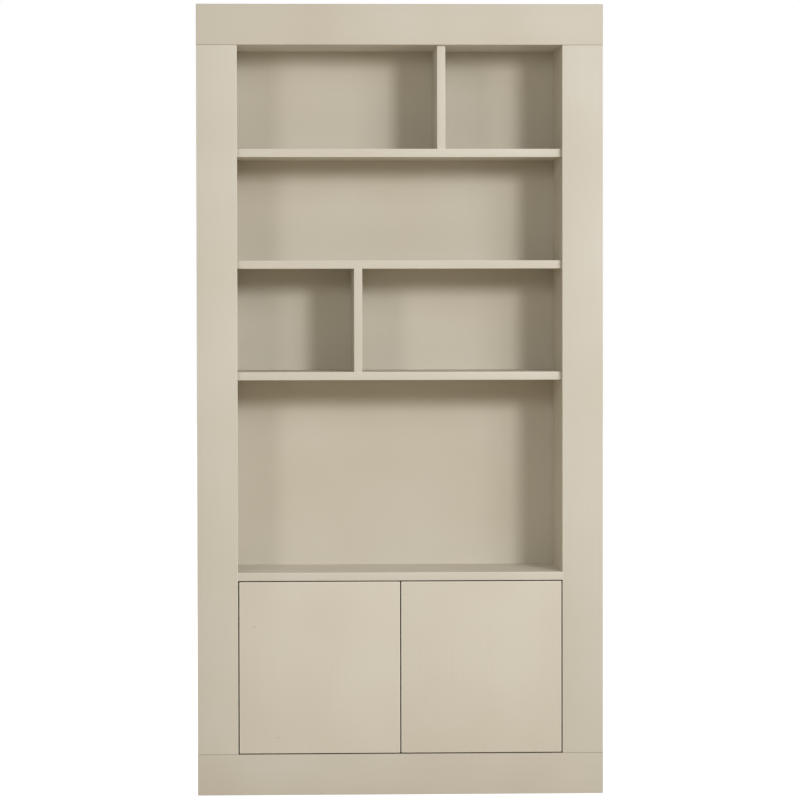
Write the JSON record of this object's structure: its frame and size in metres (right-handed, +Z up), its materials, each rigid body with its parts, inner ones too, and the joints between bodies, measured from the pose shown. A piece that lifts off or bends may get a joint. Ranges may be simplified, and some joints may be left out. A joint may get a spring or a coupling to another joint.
{
  "type": "bookcase with cabinet doors",
  "caption": "Tall painted bookcase: wide face frame, fixed shelves with offset dividers, a tall open bay and a base cabinet with two flat inset push-to-open doors.",
  "frame": {"origin": "bottom centre of the bookcase, on the floor under its glides", "axes": "+Z up, +Y from the front towards the wall, +X to the right seen from the front"},
  "size_m": [1.1, 0.35, 2.143],
  "materials": {
    "frame_paint": "satin painted pine",
    "door_paint": "satin painted pine",
    "shelf_paint": "satin painted pine",
    "carcass_paint": "satin painted pine",
    "back_paint": "painted fibreboard",
    "bare_pine": "planed pine",
    "beech_dowel": "turned beech",
    "zinc_plated_steel": "zinc plated",
    "nickel_plated_steel": "nickel plated",
    "strike_steel": "zinc plated",
    "zinc_die_casting": "die cast",
    "cap_plastic": "moulded",
    "latch_plastic": "moulded",
    "plunger_plastic": "moulded",
    "glide_plastic": "moulded"
  },
  "bodies": {
    "carcass": {"back_panel_screws": "zinc_plated_steel", "bottom_rail": "frame_paint", "cabinet_deck": "shelf_paint", "cabinet_floor_panel": "carcass_paint", "cam_bolts": "zinc_plated_steel", "cam_caps": "cap_plastic", "cam_discs": "zinc_die_casting", "ceiling_panel": "carcass_paint", "divider_dowels": "beech_dowel", "frame_dowels": "beech_dowel", "glides": "glide_plastic", "latch_screws": "zinc_plated_steel", "left_arm_screws": "zinc_plated_steel", "left_hinge_arms": "nickel_plated_steel", "left_inner_side_panel": "carcass_paint", "left_latch_housing": "latch_plastic", "left_mounting_plates": "nickel_plated_steel", "left_outer_side_panel": "carcass_paint", "left_plate_screws": "zinc_plated_steel", "left_side_spacers": "bare_pine", "left_stile": "frame_paint", "lower_back_panel": "back_paint", "lower_divider": "shelf_paint", "lower_shelf": "shelf_paint", "middle_shelf": "shelf_paint", "rear_plinth_rail": "bare_pine", "rear_top_rail": "bare_pine", "right_arm_screws": "zinc_plated_steel", "right_hinge_arms": "nickel_plated_steel", "right_inner_side_panel": "carcass_paint", "right_latch_housing": "latch_plastic", "right_mounting_plates": "nickel_plated_steel", "right_outer_side_panel": "carcass_paint", "right_plate_screws": "zinc_plated_steel", "right_side_spacers": "bare_pine", "right_stile": "frame_paint", "shelf_dowels": "beech_dowel", "top_board": "carcass_paint", "top_rail": "frame_paint", "upper_back_panel": "back_paint", "upper_divider": "shelf_paint", "upper_shelf": "shelf_paint"},
    "left_door_leaf": {"left_cup_screws": "zinc_plated_steel", "left_door": "door_paint", "left_hinge_cups": "nickel_plated_steel", "left_hinge_pins": "zinc_plated_steel", "left_strike_plate": "strike_steel", "left_strike_screw": "zinc_plated_steel"},
    "right_door_leaf": {"right_cup_screws": "zinc_plated_steel", "right_door": "door_paint", "right_hinge_cups": "nickel_plated_steel", "right_hinge_pins": "zinc_plated_steel", "right_strike_plate": "strike_steel", "right_strike_screw": "zinc_plated_steel"},
    "left_plunger": {"left_latch_plunger": "plunger_plastic"},
    "right_plunger": {"right_latch_plunger": "plunger_plastic"}
  },
  "joints": [
    {"name": "left_door_hinge", "type": "hinge", "parent": "carcass", "child": "left_door_leaf", "pos_m": [-0.41, -0.163, 0.3485], "axis": [0, 0, -1], "range_deg": [0, 95]},
    {"name": "right_door_hinge", "type": "hinge", "parent": "carcass", "child": "right_door_leaf", "pos_m": [0.41, -0.163, 0.3485], "axis": [0, 0, 1], "range_deg": [0, 95]},
    {"name": "left_plunger_slide", "type": "slide", "parent": "carcass", "child": "left_plunger", "axis": [0, 1, 0], "range_m": [0, 0.003], "stiffness_N_per_m": 200, "springref_m": -0.004},
    {"name": "right_plunger_slide", "type": "slide", "parent": "carcass", "child": "right_plunger", "axis": [0, 1, 0], "range_m": [0, 0.003], "stiffness_N_per_m": 200, "springref_m": -0.004}
  ]
}
